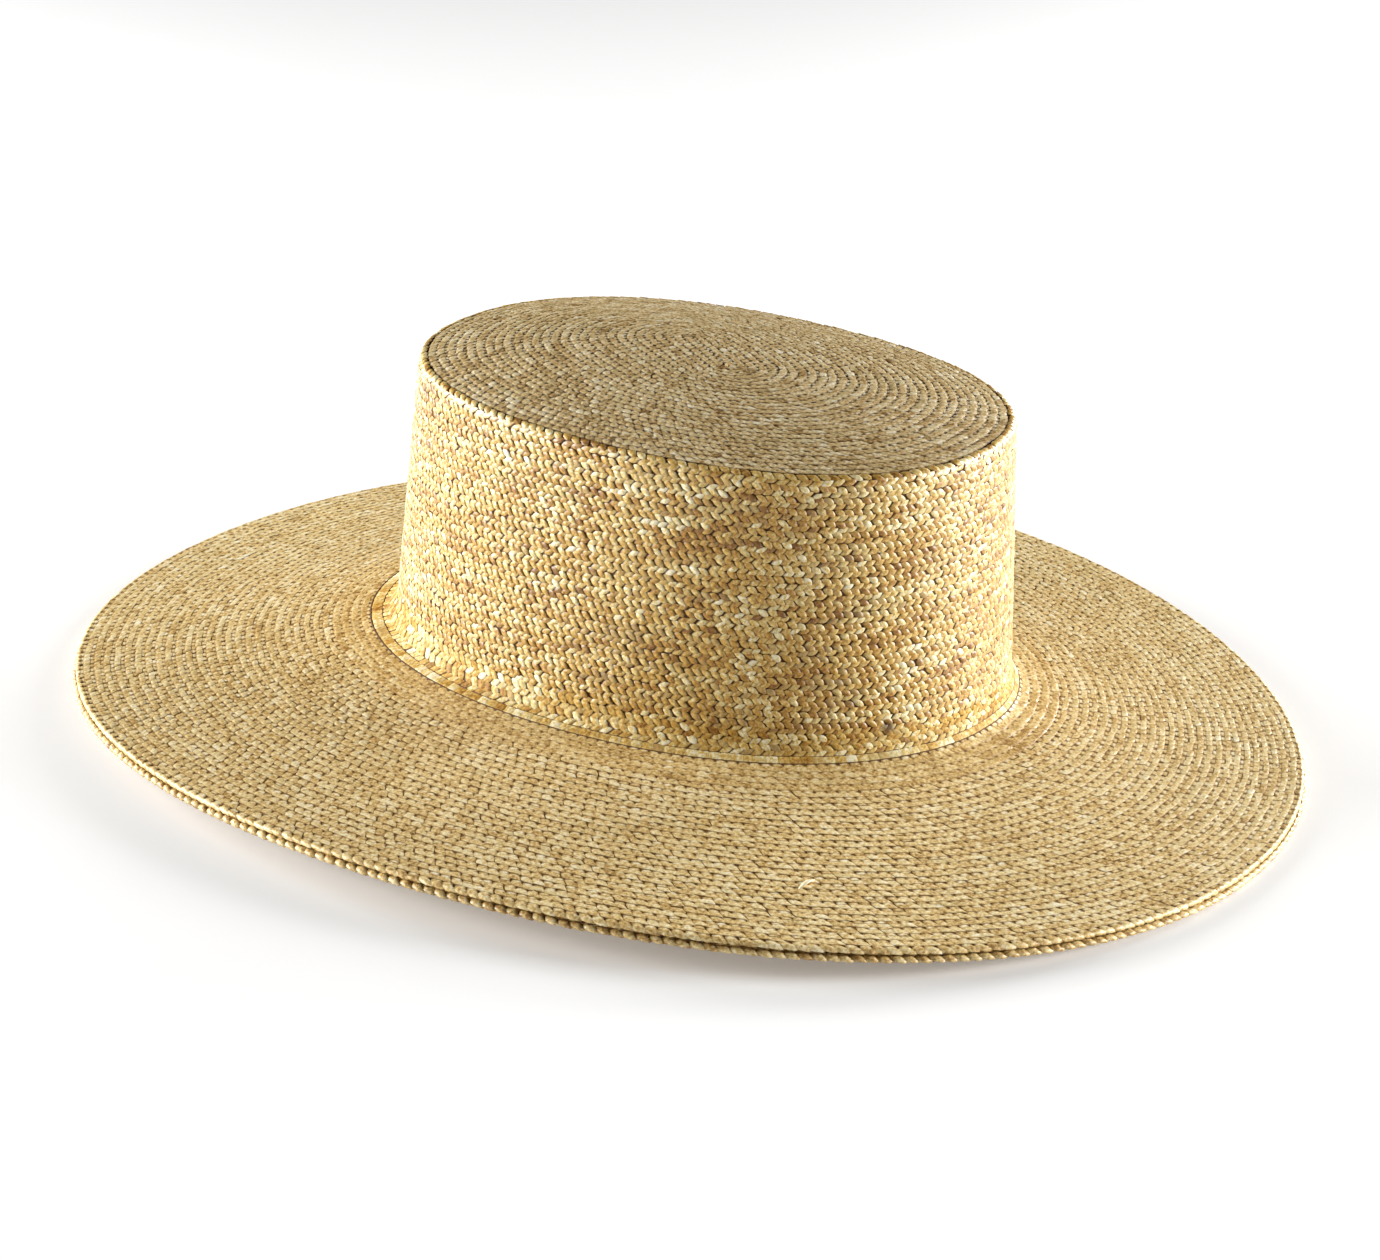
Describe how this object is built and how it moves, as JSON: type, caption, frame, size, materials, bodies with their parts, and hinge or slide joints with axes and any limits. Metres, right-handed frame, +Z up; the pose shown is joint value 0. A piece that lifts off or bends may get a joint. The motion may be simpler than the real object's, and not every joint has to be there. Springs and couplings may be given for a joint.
{
  "type": "boater hat",
  "caption": "Oval hat of sewn straw plait with a low domed tip, a leaning crown wall, a wide stiff wavy brim and a doubled edge row.",
  "frame": {"origin": "middle of the rim, on the surface that the hat rests on", "axes": "+Z up through the crown, +Y along the long axis of the oval, +X across it"},
  "size_m": [0.3628, 0.411, 0.1195],
  "materials": {
    "straw_tip": "greyish gold straw plait, satin",
    "straw_wall": "golden straw plait with pale and orange straws, glossy",
    "straw_brim": "pale gold straw plait, satin"
  },
  "bodies": {
    "root": {"crown_tip": "straw_tip", "crown_shoulder": "straw_wall", "crown_wall": "straw_wall", "crown_foot": "straw_wall", "brim": "straw_brim", "brim_edge_row": "straw_brim"}
  },
  "joints": []
}
